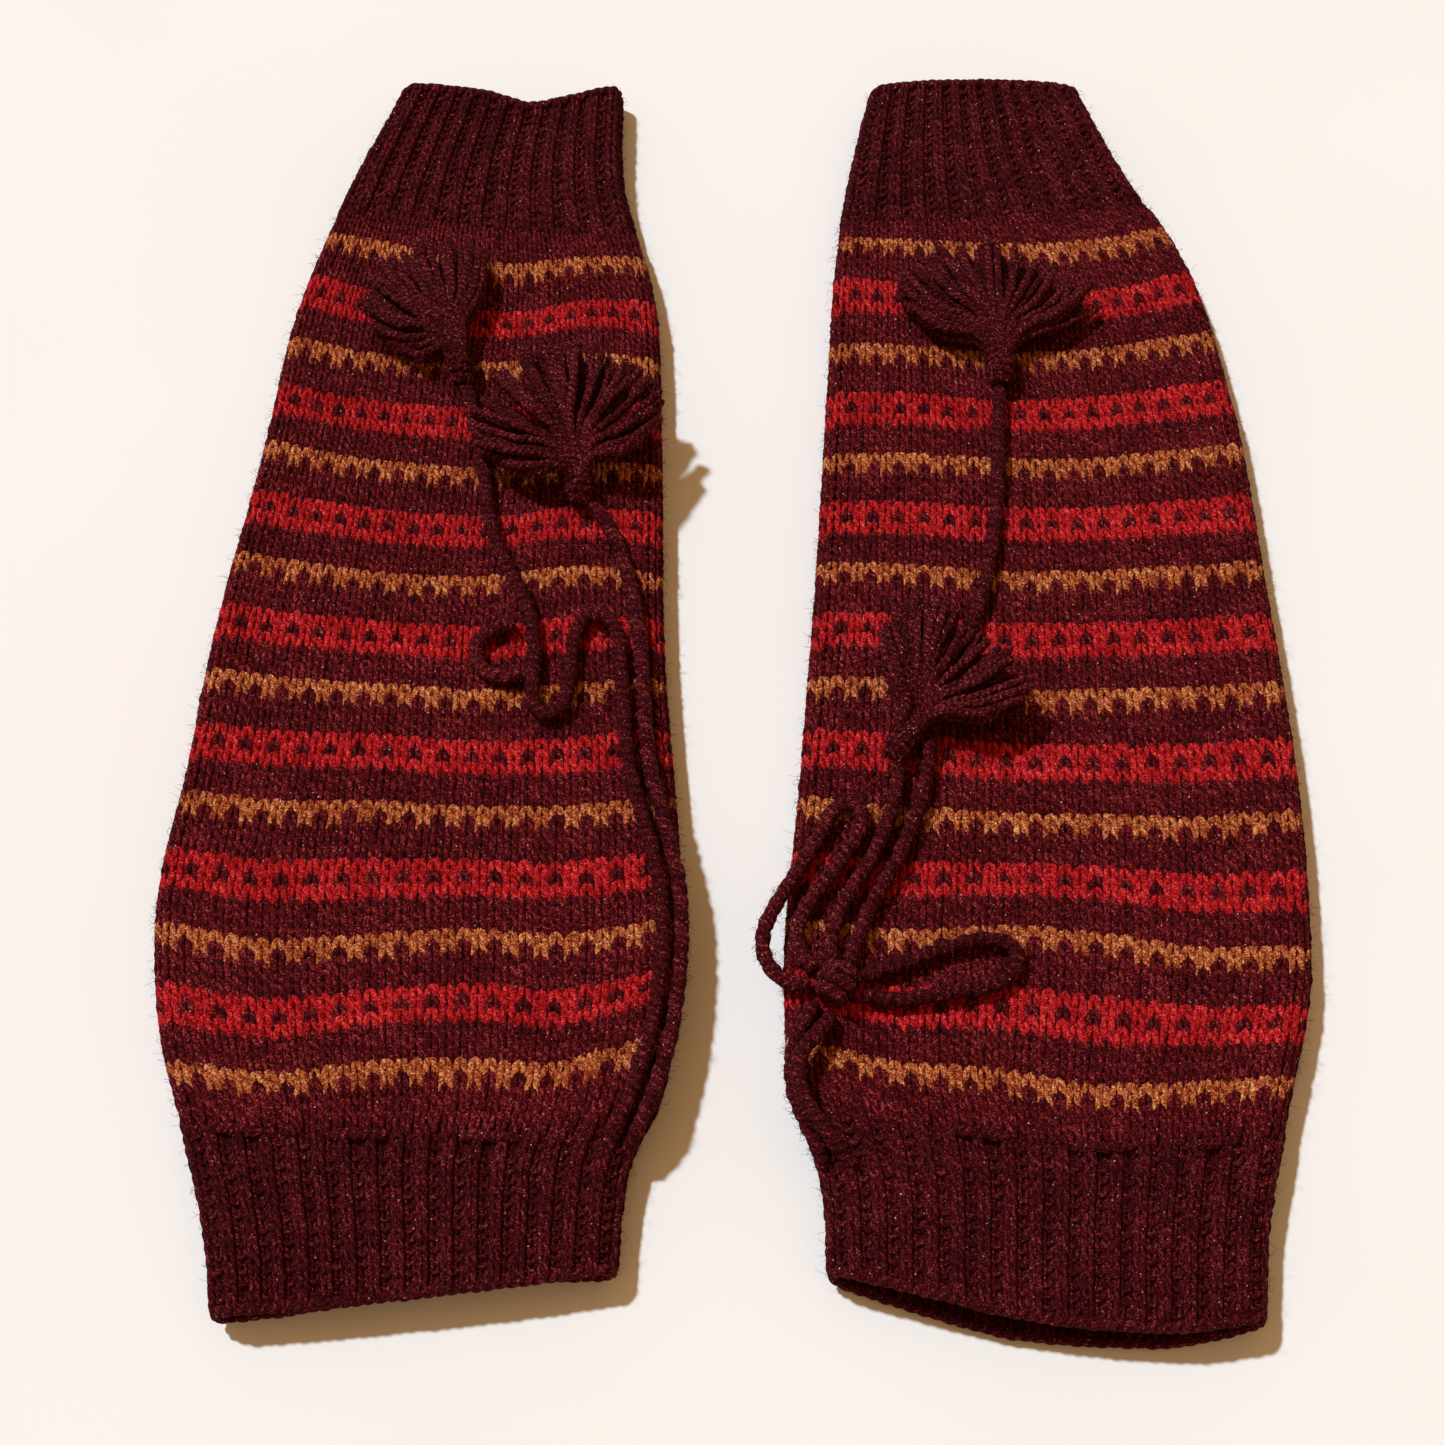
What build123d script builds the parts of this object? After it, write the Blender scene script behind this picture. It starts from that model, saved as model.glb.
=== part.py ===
from build123d import *
import os
from math import pi, radians, tan

# Pair of knitted leg warmers lying flat, millimetres. +Z is up, +Y runs from the knee hem to the
# ankle edge, and the origin is under the middle of the pair, on the surface that it lies on.

# Fabric
THICKNESS = 11.0        # the flattened tube, two layers and the air between them
WALL = 3.0              # one layer of stranded knitting
EDGE_ROUND = 4.8        # radius of the folded side edges
PAST_END = 18.0         # how far the side curves run past the hems before they are cut
ANKLE_LINE = 137.0      # y where the narrow rib meets the leg
KNEE_LINE = -144.8      # y where the leg meets the wide rib

# Drawcord, threaded through a row of eyelets at the top of the wide rib
CORD = 4.2              # diameter
RUN_WIDTH = 4.4         # the threaded stretch, squeezed flat in the fabric
RUN_DEPTH = 2.1         # depth of its channel in the wall
RUN_SUNK = 0.2          # how far it lies below the fabric's face

# Tassels
HEAD_RADIUS = 4.2
HEAD_BASE = 11.4
HEAD_TOP = 20.5
HEAD_ROUND = 1.2
SKIRT_RADIUS = 42.0
SKIRT_HEIGHT = 8.0
SKIRT_HALF_ANGLE = 40.0
KNOT_RADIUS = 6.5
KNOT_HEIGHT = 8.0
KNOT_ROUND = 2.5

ON_TOP = THICKNESS + 0.4 + CORD / 2     # z of a cord's centre where it lies on the fabric
ON_EDGE = ON_TOP - 1.4                  # and where it lies on the rounded side edge
OVER_CORD = ON_EDGE + CORD + 0.2        # and where it lies over a cord on that edge

# Side curves (x, y) from the knee hem to the ankle edge, and the two end curves of each warmer
OUTLINES = {
    "left": {
        "outer": [(-125.5, -190.7), (-128.5, -172), (-134.5, -151), (-145, -119), (-149.7, -86),
                  (-145.6, -42), (-142.6, -6), (-133.8, 57), (-127.6, 107), (-114.6, 153), (-101, 189.5)],
        "inner": [(-28.4, -180), (-27.4, -165), (-25.2, -151.5), (-18.8, -138), (-14.4, -118),
                  (-12.8, -100), (-13.8, -72), (-18.6, -6), (-20, 57), (-22.6, 109), (-33, 154), (-34, 189.5)],
        "knee": [(-125.5, -190.7), (-77.8, -185.6), (-28.4, -180)],
        "ankle": [(-101, 189.5), (-80, 188), (-59, 182.5), (-46, 186), (-34, 189.5)],
    },
    "right": {
        "outer": [(127, -191.6), (130.5, -167), (137, -143), (147.5, -105), (149.7, -75),
                  (147.5, 20), (144, 74), (134, 125), (117.6, 160), (106.6, 188.5)],
        "inner": [(22.3, -179.5), (21.6, -159), (14, -132), (12.6, -107), (17.4, -48), (22.6, 12),
                  (27, 74), (31.8, 132), (37.6, 165), (43.4, 189)],
        "knee": [(22.3, -179.5), (50, -188.6), (80, -193.4), (104, -195), (127, -191.6)],
        "ankle": [(43.4, 189), (60, 190.6), (90, 190.7), (106.6, 188.5)],
    },
}

# Tassels: centre of the head, direction of the skirt from +Y towards +X, height of its underside
TASSELS = {
    "left_tassel_1": {"at": (-78.0, 79.0), "towards": -12.0, "skirt_base": 12.0},
    "left_tassel_2": {"at": (-43.0, 38.5), "towards": -8.0, "skirt_base": 16.2},
    "right_tassel_1": {"at": (76.5, 79.0), "towards": 0.0, "skirt_base": 12.0},
    "right_tassel_2": {"at": (44.0, -41.0), "towards": 26.0, "skirt_base": 16.2},
}

BOW_KNOT = (26.0, -108.0)     # the right drawcord is tied in a bow

# Routes of the free stretches, each a list of corners chosen by hand
CORD_ROUTES = {
    "left_cord_1": [
        (-26.5, -139, ON_TOP), (-22, -126, ON_TOP), (-19.2, -111, ON_TOP), (-17.8, -95, ON_TOP),
        (-18.9, -78, ON_TOP), (-23.6, -62, ON_TOP), (-28, -45, ON_TOP), (-29.4, -28, ON_TOP),
        (-30.4, -15, ON_TOP), (-31, -6, ON_TOP), (-34.6, -0.6, ON_TOP), (-40, -0.8, ON_TOP),
        (-43.2, -6.4, ON_TOP), (-43.8, -16, ON_TOP), (-44.3, -25, ON_TOP),
        (-46.8, -30.8, ON_TOP), (-52, -31, ON_TOP), (-54.2, -25.4, ON_TOP),
        (-53.4, -14, ON_TOP), (-54.6, -2, ON_TOP), (-58.6, 8.5, ON_TOP), (-64, 18, ON_TOP),
        (-68, 31, ON_TOP), (-70, 47, ON_TOP), (-72.5, 61, ON_TOP), (-76.2, 74.6, ON_TOP)],
    "left_cord_2": [
        (-21.5, -140, ON_TOP), (-17, -127, ON_EDGE), (-14.4, -112, ON_EDGE),
        (-13.1, -95, ON_EDGE), (-14, -78, ON_EDGE), (-18.2, -62, ON_TOP), (-22.5, -45, ON_TOP),
        (-24, -26, ON_TOP), (-25.2, -8, ON_TOP), (-27.8, 8, ON_TOP), (-31, 20, ON_TOP),
        (-34.8, 28.8, ON_TOP), (-39.4, 35.4, ON_TOP)],
    "left_cord_curl": [
        (-56.8, -19, ON_TOP), (-62, -20.6, ON_TOP), (-68.5, -17, ON_TOP), (-70, -10, ON_TOP),
        (-65.5, -4.2, ON_TOP), (-59.4, -3.2, ON_TOP)],
    "right_cord_1": [
        (29.2, -102, ON_TOP), (31.4, -95.5, ON_TOP), (35.2, -86, ON_TOP), (41.2, -75.5, ON_TOP),
        (46, -65.5, ON_TOP), (49.4, -55.5, ON_TOP), (51.6, -45, ON_TOP), (53, -33, ON_TOP),
        (57.6, -20, ON_TOP), (64, -6, ON_TOP), (69.4, 9, ON_TOP), (73, 29, ON_TOP),
        (75, 51, ON_TOP), (76.3, 74.4, ON_TOP)],
    "right_cord_2": [
        (24.6, -101.3, ON_TOP), (24.4, -94.5, ON_TOP), (27, -87.5, ON_TOP), (31.6, -79.5, ON_TOP),
        (36.6, -71.5, ON_TOP), (40.8, -61, ON_TOP), (43, -53, ON_TOP), (43.8, -45.6, ON_TOP)],
    "right_bow_loop_1": [
        (20.6, -103.8, ON_TOP), (16.6, -99.6, ON_TOP), (15.6, -92.5, ON_TOP), (19.4, -85, ON_TOP),
        (25.6, -76.5, ON_TOP), (31, -69, ON_TOP), (34.2, -62.8, ON_TOP), (32.4, -56.8, ON_TOP),
        (27, -57.4, ON_TOP), (22.6, -66, ON_TOP), (15.6, -78, ON_TOP), (8.8, -89, ON_TOP),
        (6.6, -97, ON_TOP), (9.4, -104.2, ON_TOP), (14, -107.6, ON_TOP), (19.2, -108.2, ON_TOP)],
    "right_bow_loop_2": [
        (32.4, -110.3, ON_TOP), (39, -112, ON_TOP), (48, -111, ON_TOP), (59.6, -109, ON_TOP),
        (68, -107.4, ON_TOP), (72.8, -102.4, ON_TOP), (71, -96.6, ON_TOP), (64.6, -95, ON_TOP),
        (54, -97.5, ON_TOP), (43, -101.8, ON_TOP), (32.4, -105.7, ON_TOP)],
    "right_cord_lead_1": [
        (20.9, -112.6, ON_TOP), (16.4, -119, ON_TOP), (13.8, -128, ON_EDGE), (15, -138, ON_EDGE),
        (18.6, -146, ON_TOP)],
    "right_cord_lead_2": [
        (24.9, -115.8, ON_TOP), (21.4, -120.8, OVER_CORD), (15.4, -127.5, OVER_CORD),
        (16.2, -137.5, OVER_CORD), (22.4, -146.8, 17), (25.6, -150.4, ON_TOP)],
}


def beyond(curve):
    """The curve's points with one more past each end, in line with its last stretch."""
    ends = []
    for last, before in ((curve[0], curve[1]), (curve[-1], curve[-2])):
        along = (Vector(*last) - Vector(*before)).normalized()
        ends.append((last[0] + along.X * PAST_END, last[1] + along.Y * PAST_END))
    return [ends[0], *curve, ends[1]]


def strip(outline, inset):
    """The flat tube, longer than the warmer, drawn in by inset all round."""
    outer, inner = beyond(outline["outer"]), beyond(outline["inner"])
    inwards = inset if outer[0][0] < inner[0][0] else -inset
    outer = [(x + inwards, y) for x, y in outer]
    inner = [(x - inwards, y) for x, y in inner]
    rim = [Spline(*outer), Line(outer[-1], inner[-1]), Spline(*inner[::-1]), Line(inner[0], outer[0])]
    body = extrude(make_face(rim), THICKNESS - 2 * inset)
    body = Pos(0, 0, inset) * body
    folds = [e for e in body.edges().filter_by(GeomType.BSPLINE)]
    return fillet(folds, min(EDGE_ROUND, THICKNESS / 2 - inset - 0.2))


def past(curve, shift, direction):
    """A tall block of everything past an end curve: direction -1 is the knee side, 1 the ankle."""
    points = [(x, y + shift) for x, y in beyond(curve)]
    far = 2 * PAST_END * direction
    corners = [points[-1], (points[-1][0], points[-1][1] + far), (points[0][0], points[0][1] + far),
               points[0]]
    face = make_face([Spline(*points), Polyline(*corners)])
    return Pos(0, 0, -5) * extrude(face, THICKNESS + 10)


def between(low, high):
    """Everything between two y values."""
    return Pos(0, (low + high) / 2, THICKNESS / 2) * Box(400, high - low, THICKNESS + 10)


def knitted_tube(outline):
    """Ankle cuff, leg, knee cuff and the threaded run of the drawcord, as separate solids."""
    hollow = strip(outline, WALL)
    tube = strip(outline, 0) - hollow
    tube = tube - past(outline["knee"], 0, -1) - past(outline["ankle"], 0, 1)
    channel = strip(outline, 0) - strip(outline, RUN_DEPTH)
    channel = channel & between(KNEE_LINE - RUN_WIDTH, KNEE_LINE)
    run = strip(outline, RUN_SUNK) - strip(outline, RUN_DEPTH)
    return {
        "ankle_cuff": tube & between(ANKLE_LINE, 250),
        "leg": tube & between(KNEE_LINE, ANKLE_LINE),
        "knee_cuff": (tube & between(-250, KNEE_LINE)) - channel,
        "drawcord_run": run & between(KNEE_LINE - RUN_WIDTH, KNEE_LINE),
    }


def cord_tube(name, route):
    """A round tube of straight runs joined by arcs as large as the runs allow."""
    runs = [Vector(*b) - Vector(*a) for a, b in zip(route, route[1:])]
    radii = []
    for before, after in zip(runs, runs[1:]):
        half_turn = radians(before.get_angle(after)) / 2
        radii.append(0.45 * min(before.length, after.length) / tan(half_turn))
    path = FilletPolyline(*route, radius=radii)
    section = Plane(origin=route[0], z_dir=runs[0]) * Circle(CORD / 2)
    tube = sweep(section, path=path)
    share = tube.volume / (pi * CORD**2 / 4 * path.length)
    print(f"{name}: {path.length:.1f} long, volume / (section x length) {share:.4f},",
          "arc radii", [round(r, 1) for r in radii])
    return tube


def knot(at):
    """The tie, a low rounded bundle."""
    x, y = at
    bundle = Pos(x, y, HEAD_BASE) * extrude(Circle(KNOT_RADIUS), KNOT_HEIGHT)
    return fillet(bundle.edges(), KNOT_ROUND)


def tassel(at, towards, skirt_base):
    """The wrapped head and the flat fan of cut yarn, both turning about the head's own axis."""
    x, y = at
    head = extrude(Circle(HEAD_RADIUS), HEAD_TOP - HEAD_BASE)
    head = fillet(head.edges(), HEAD_ROUND)
    on_axis = (Align.NONE, Align.NONE, Align.MIN)
    fan = Cylinder(SKIRT_RADIUS, SKIRT_HEIGHT, arc_size=2 * SKIRT_HALF_ANGLE, align=on_axis)
    fan = fan - Cylinder(HEAD_RADIUS, SKIRT_HEIGHT, align=on_axis)
    first_edge = 90 - towards - SKIRT_HALF_ANGLE
    return {
        "head": Pos(x, y, HEAD_BASE) * head,
        "skirt": Pos(x, y, skirt_base) * Rot(0, 0, first_edge) * fan,
    }


def solids():
    nodes = {"right_bow_knot": knot(BOW_KNOT)}
    for side, outline in OUTLINES.items():
        for name, solid in knitted_tube(outline).items():
            nodes[f"{side}_{name}"] = solid
    for name, route in CORD_ROUTES.items():
        nodes[name] = cord_tube(name, route)
    for name, place in TASSELS.items():
        for piece, solid in tassel(**place).items():
            nodes[f"{name}_{piece}"] = solid
    return nodes


os.makedirs("parts", exist_ok=True)
for name, solid in solids().items():
    export_step(solid, f"parts/{name}.step")
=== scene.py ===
"""Looks of a pair of footless knitted leg warmers lying flat.

The knitting is made stitch by stitch: every loop of yarn is a swept tube, placed by its column and
row on a flattened, folded tube of fabric. Lengths in this file are millimetres until MM turns them
into metres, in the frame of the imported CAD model.
"""
import math

import bpy
import numpy as np
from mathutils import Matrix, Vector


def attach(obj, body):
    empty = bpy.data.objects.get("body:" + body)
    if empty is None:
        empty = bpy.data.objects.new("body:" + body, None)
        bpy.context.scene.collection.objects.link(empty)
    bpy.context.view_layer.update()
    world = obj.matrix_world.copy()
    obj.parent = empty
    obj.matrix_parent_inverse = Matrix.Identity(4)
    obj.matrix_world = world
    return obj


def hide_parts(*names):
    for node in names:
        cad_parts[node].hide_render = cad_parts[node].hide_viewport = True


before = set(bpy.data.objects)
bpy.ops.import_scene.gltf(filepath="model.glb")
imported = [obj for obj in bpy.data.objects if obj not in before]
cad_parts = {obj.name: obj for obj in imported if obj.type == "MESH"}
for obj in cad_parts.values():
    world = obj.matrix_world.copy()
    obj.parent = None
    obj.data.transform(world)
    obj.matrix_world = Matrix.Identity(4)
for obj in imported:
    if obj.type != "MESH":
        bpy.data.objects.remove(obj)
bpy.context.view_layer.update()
MM = 0.001
rng = np.random.default_rng(11)

ACROSS = 35            # stitches across the front of a leg and of the wide cuff
ACROSS_NARROW = 26     # and across the narrow cuff, whose ribs are drawn closer
ROWS = 123             # rows from the ankle edge, where the knitting begins, to the knee edge
NARROW_ROWS = 17
SPLIT_ROW = 62         # the leg's front is made as two pieces, which meet here
RUN_ROW = 109          # the drawcord is threaded through this row
PATTERN_START = 20     # first caramel row
PATTERN_END = 104      # last one, where the red bands have stopped
REPEAT = 12            # rows from one caramel band to the next
ROLL = 4.0             # radius of the fold along each side
MIDDLE = 5.9           # height of the flattened tube's middle
LOWEST = 0.05          # no yarn comes closer to the table
CORD = 4.2             # the drawcord's diameter
FINE = (14, 6)         # points along a loop and corners of its section, where it is seen
COARSE = (9, 5)        # and on the underside

# Each side's two long edges run from knee to ankle. levels gives the height on the page of a row at
# six places across the front, from the edge at smaller x to the edge at larger x, and hem is how far
# the back's knee edge shows beyond the front's at the same places.
WARMERS = {
    "left": {
        "low": [(-124.4, -190.7), (-127.4, -172), (-133.4, -151), (-144, -119), (-148.6, -86), (-144.6, -42),
                (-141.6, -6), (-132.8, 57), (-126.6, 107), (-113.6, 153), (-100, 190)],
        "high": [(-29.6, -182), (-28.6, -165), (-26.4, -151.5), (-20, -138), (-15.6, -118), (-14, -100),
                 (-15, -72), (-19.8, -6), (-21.2, 57), (-23.8, 109), (-34, 154), (-35, 190)],
        "levels": {
            0: (188.6, 187.6, 185.6, 181.8, 184.4, 188.2),
            17: (139.9, 137.6, 134.6, 131.8, 130.8, 131.7),
            21: (130.0, 124.3, 119.5, 116.0, 119.2, 119.5),
            33: (91.0, 85.4, 82.5, 81.8, 84.4, 82.6),
            45: (55.0, 49.8, 46.8, 45.0, 47.5, 46.5),
            57: (18.5, 14.1, 10.6, 10.0, 13.2, 11.2),
            69: (-18.6, -22.0, -23.5, -25.5, -23.5, -21.5),
            81: (-55.2, -58.3, -58.5, -59.8, -60.0, -56.6),
            93: (-92.4, -97.6, -96.4, -94.6, -95.8, -91.0),
            105: (-129.8, -133.0, -130.5, -129.8, -130.4, -121.5),
            110: (-144.8, -147.2, -147.6, -148.0, -147.6, -141.0),
            123: (-189.4, -188.0, -186.2, -184.0, -181.6, -178.8)},
        "hem": (0, -1.0, -2.4, -3.0, -2.4, 0),
        "runs": [(0.07, 0.19), (0.32, 0.46), (0.60, 0.73)]},
    "right": {
        "low": [(23.5, -180), (22.8, -159), (15.2, -132), (13.8, -107), (18.6, -48),
                (23.8, 12), (28.2, 74), (33, 132), (38.8, 165), (44.4, 190)],
        "high": [(125.9, -194), (129.4, -167), (135.9, -143), (146.4, -105), (148.6, -75),
                 (146.4, 20), (142.9, 74), (132.9, 125), (116.5, 160), (105.4, 190)],
        "levels": {
            0: (187.6, 189.0, 189.6, 189.8, 189.4, 187.6),
            17: (136.2, 136.4, 136.6, 138.0, 140.2, 141.8),
            21: (128.0, 126.3, 124.3, 123.6, 125.8, 131.0),
            33: (87.8, 87.2, 85.0, 85.2, 88.6, 92.5),
            45: (50.0, 50.0, 48.8, 48.0, 50.5, 54.0),
            57: (14.3, 14.0, 11.3, 11.5, 12.8, 15.0),
            69: (-21.5, -21.8, -25.5, -25.5, -24.8, -23.0),
            81: (-57.0, -60.0, -61.7, -62.3, -63.3, -61.2),
            93: (-91.0, -94.8, -93.8, -95.8, -100.0, -99.5),
            105: (-123.5, -130.0, -132.3, -136.2, -135.6, -133.5),
            110: (-138.0, -144.0, -147.8, -150.6, -150.4, -147.5),
            123: (-179.2, -184.4, -189.4, -192.2, -193.2, -190.8)},
        "hem": (0.8, 2.4, 3.2, 2.4, 1.8, 0),
        "runs": [(0.30, 0.43), (0.55, 0.68), (0.79, 0.89)]},
}

# Long soft waves of the fabric lying on the table: place, half-lengths across and along, turn in
# degrees and height of each. Dips are negative.
WAVES = {
    "left": [
        ((-36, -112), (5, 34), 8, 0.9), ((-48, -112), (5, 30), 8, -0.8), ((-110, -104), (22, 7), 6, 0.6),
        ((-92, -124), (26, 5), -4, -0.6), ((-120, 128), (9, 12), 20, -0.9), ((-60, 176), (14, 8), 0, -1.6),
        ((-78, 150), (4, 16), 0, 0.6), ((-60, 108), (20, 5), -8, -0.7), ((-126, 10), (5, 40), -8, -0.5)],
    "right": [
        ((106, -104), (16, 7), -12, -1.0), ((80, -104), (18, 6), 14, 0.6), ((128, -88), (10, 16), 0, 0.6),
        ((60, -150), (30, 5), -8, -0.7), ((58, 150), (4, 16), 0, 0.5), ((112, 140), (16, 4), 10, -1.0),
        ((40, -60), (5, 40), 4, -0.6), ((134, 30), (5, 50), -4, -0.6), ((90, 156), (5, 14), 0, -0.5),
        ((46, -192), (20, 9), -8, 2.2)],
}


def bend(xs, ys, x):
    """A smooth curve through the points (xs, ys), read at x. ys may have more columns."""
    xs, ys = np.asarray(xs, float), np.asarray(ys, float)
    slope = np.gradient(ys, xs, axis=0)
    x = np.clip(x, xs[0], xs[-1])
    i = np.clip(np.searchsorted(xs, x, side="right") - 1, 0, len(xs) - 2)
    width = xs[i + 1] - xs[i]
    u = (x - xs[i]) / width
    if ys.ndim > 1:
        u, width = u[:, None], width[:, None]
    return ((1 + 2 * u) * (1 - u) ** 2 * ys[i] + u * (1 - u) ** 2 * width * slope[i]
            + u * u * (3 - 2 * u) * ys[i + 1] + u * u * (u - 1) * width * slope[i + 1])


class Fabric:
    """One warmer's folded fabric: turns a column, a row and a lift off the fabric into a point."""

    def __init__(self, side):
        facts = WARMERS[side]
        self.side, self.runs, self.hem = side, facts["runs"], facts["hem"]
        ys = np.linspace(-196, 196, 400)
        low, high = np.array(facts["low"], float), np.array(facts["high"], float)
        self.ys = ys
        self.low = bend(low[:, 1], low[:, 0], ys)
        self.high = bend(high[:, 1], high[:, 0], ys)
        rows = sorted(facts["levels"])
        across = bend(np.linspace(0, 1, 6), np.array([facts["levels"][r] for r in rows]).T,
                      np.linspace(0, 1, 61)).T
        self.grid = bend(rows, across, np.linspace(0, ROWS, 4 * ROWS + 1))

    def level(self, r, t):
        """How far along the page row r lies at share t across the front."""
        # the red rows, with a second yarn carried behind each, are knitted looser than the rest
        later = np.interp((r - PATTERN_START) % REPEAT, (0, 2, 5, 8, REPEAT), (0, 0.05, 0.35, 0.75, 0))
        r = r + np.where((r > PATTERN_START) & (r < PATTERN_END), later, 0)
        beyond = r - np.clip(r, 0, ROWS)
        i = np.clip(r, 0, ROWS) * 4
        j = np.clip(t, 0, 1) * 60
        i0, j0 = np.minimum(i.astype(int), 4 * ROWS - 1), np.minimum(j.astype(int), 59)
        a, b = i - i0, j - j0
        g = self.grid
        return ((1 - a) * ((1 - b) * g[i0, j0] + b * g[i0, j0 + 1])
                + a * ((1 - b) * g[i0 + 1, j0] + b * g[i0 + 1, j0 + 1])) - 3.0 * beyond

    def relief(self, x, y):
        """Height of the front's waves and unevenness at this place."""
        z = 0.22 * np.sin(x / 11 + 1.3 * np.sin(y / 47)) * np.sin(y / 19 + x / 60)
        for (cx, cy), (a, b), turn, height in WAVES[self.side]:
            c, s = math.cos(math.radians(turn)), math.sin(math.radians(turn))
            u, v = (x - cx) * c + (y - cy) * s, (y - cy) * c - (x - cx) * s
            z = z + height * np.exp(-(u / a) ** 2 - (v / b) ** 2)
        return z

    def place(self, s, r, lift, across=ACROSS):
        """Points and outward normals. Columns 0 to across are the front, and the rest the back."""
        s, r, lift = np.broadcast_arrays(np.asarray(s, float), np.asarray(r, float), lift)
        s = s % (2 * across)
        back = s > across
        q = np.where(back, 2 * across - s, s) / across
        mid = self.level(r, np.full(r.shape, 0.5))
        wide = np.interp(mid, self.ys, self.high) - np.interp(mid, self.ys, self.low)
        half = wide - 2 * ROLL + math.pi * ROLL
        left = np.clip(q * half / ROLL, 0, math.pi / 2)
        right = np.clip((1 - q) * half / ROLL, 0, math.pi / 2)
        flat = np.clip(q * half - math.pi * ROLL / 2, 0, wide - 2 * ROLL)
        t = (ROLL * (1 - np.cos(left)) + flat + ROLL * np.cos(right)) / wide
        up = np.minimum(np.sin(left), np.sin(right))
        nx = np.cos(right) - np.cos(left)
        nz = np.where(back, -up, up)
        y = self.level(r, t)
        beyond = np.where(back, np.clip((r - ROWS + 12) / 12, 0, 1) ** 2, 0) * up
        y = y - beyond * np.interp(t, np.linspace(0, 1, 6), self.hem)
        low, high = np.interp(y, self.ys, self.low), np.interp(y, self.ys, self.high)
        x = low + (high - low) * t
        z = MIDDLE + ROLL * nz + np.where(back, 0, up ** 3) * self.relief(x, y)
        normal = np.stack([nx, np.zeros_like(nx), nz], -1)
        normal /= np.linalg.norm(normal, axis=-1, keepdims=True)
        return np.stack([x, y, z], -1) + normal * lift[..., None], normal


# ---------------------------------------------------------------- meshes

def link(ob):
    bpy.context.scene.collection.objects.link(ob)
    return ob


def mesh_object(name, verts, quads, yarn, material):
    """A smooth mesh of quads, in metres, with the yarn attribute: turn, length along, shade."""
    me = bpy.data.meshes.new(name)
    me.vertices.add(len(verts))
    me.vertices.foreach_set("co", (verts * MM).astype(np.float32).ravel())
    me.loops.add(len(quads) * 4)
    me.loops.foreach_set("vertex_index", quads.astype(np.int32).ravel())
    me.polygons.add(len(quads))
    me.polygons.foreach_set("loop_start", np.arange(0, 4 * len(quads), 4, dtype=np.int32))
    me.polygons.foreach_set("use_smooth", np.ones(len(quads), bool))
    me.update(calc_edges=True)
    if yarn is not None:
        layer = me.attributes.new("yarn", "FLOAT_VECTOR", "POINT")
        layer.data.foreach_set("vector", yarn.astype(np.float32).ravel())
    me.materials.append(material)
    return link(bpy.data.objects.new(name, me))


def unit(v):
    return v / np.maximum(np.linalg.norm(v, axis=-1, keepdims=True), 1e-9)


def tubes(paths, normals, wide, thick, sides, shade):
    """Swept tubes with equally many points, K x M x 3 paths and normals, pressed flat on the table."""
    count, points = paths.shape[:2]
    along = unit(np.gradient(paths, axis=1))
    up = unit(normals - (normals * along).sum(-1, keepdims=True) * along)
    out = np.cross(along, up)
    turn = (np.arange(sides) + 0.5) / sides * 2 * math.pi - math.pi
    wide, thick = (np.broadcast_to(v, (count, points))[:, :, None, None] for v in (wide, thick))
    ring = (paths[:, :, None] + thick * np.cos(turn)[:, None] * up[:, :, None]
            + wide * np.sin(turn)[:, None] * out[:, :, None])
    ring[..., 2] = np.maximum(ring[..., 2], LOWEST)
    step = np.linalg.norm(np.diff(paths, axis=1), axis=-1)
    run = np.concatenate([np.zeros((count, 1)), np.cumsum(step, 1)], 1) + shade[:, None] * 37
    yarn = np.empty((count, points, sides, 3))
    yarn[..., 0] = turn
    yarn[..., 1] = run[:, :, None]
    yarn[..., 2] = shade[:, None, None]
    k, m, j = np.meshgrid(np.arange(count), np.arange(points - 1), np.arange(sides), indexing="ij")
    a = (k * points + m) * sides
    nxt = (j + 1) % sides
    quads = np.stack([a + j, a + nxt, a + sides + nxt, a + sides + j], -1).reshape(-1, 4)
    return ring.reshape(-1, 3), quads, yarn.reshape(-1, 3)


def joined(parts):
    """Several (verts, quads, yarn) as one."""
    at, verts, quads, yarn = 0, [], [], []
    for v, q, a in parts:
        verts.append(v)
        quads.append(q + at)
        yarn.append(a)
        at += len(v)
    return np.concatenate(verts), np.concatenate(quads), np.concatenate(yarn)


# ---------------------------------------------------------------- materials

PLIES = 2
DULL = 0.06            # specular level of yarn


def nodes_of(name):
    """A new material, its node tree and its shader."""
    mat = bpy.data.materials.new(name)
    mat.use_nodes = True
    tree = mat.node_tree
    tree.nodes["Principled BSDF"].inputs["Specular IOR Level"].default_value = DULL
    return mat, tree, tree.nodes["Principled BSDF"]


def noise(tree, scale, detail=2.0, rough=0.5):
    """Noise of this many waves a metre, fixed to the object."""
    n = tree.nodes.new("ShaderNodeTexNoise")
    tree.links.new(tree.nodes.new("ShaderNodeTexCoord").outputs["Object"], n.inputs["Vector"])
    n.inputs["Scale"].default_value = scale
    n.inputs["Detail"].default_value = detail
    n.inputs["Roughness"].default_value = rough
    return n.outputs["Fac"]


def ramp(tree, factor, *stops):
    """Colours between these stops, each a position and a colour."""
    node = tree.nodes.new("ShaderNodeValToRGB")
    tree.links.new(factor, node.inputs[0])
    marks = node.color_ramp.elements
    for mark, (position, colour) in zip(marks, (stops[0], stops[-1])):
        mark.position, mark.color = position, (*colour, 1)
    for position, colour in stops[1:-1]:
        marks.new(position).color = (*colour, 1)
    return node.outputs[0]


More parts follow.
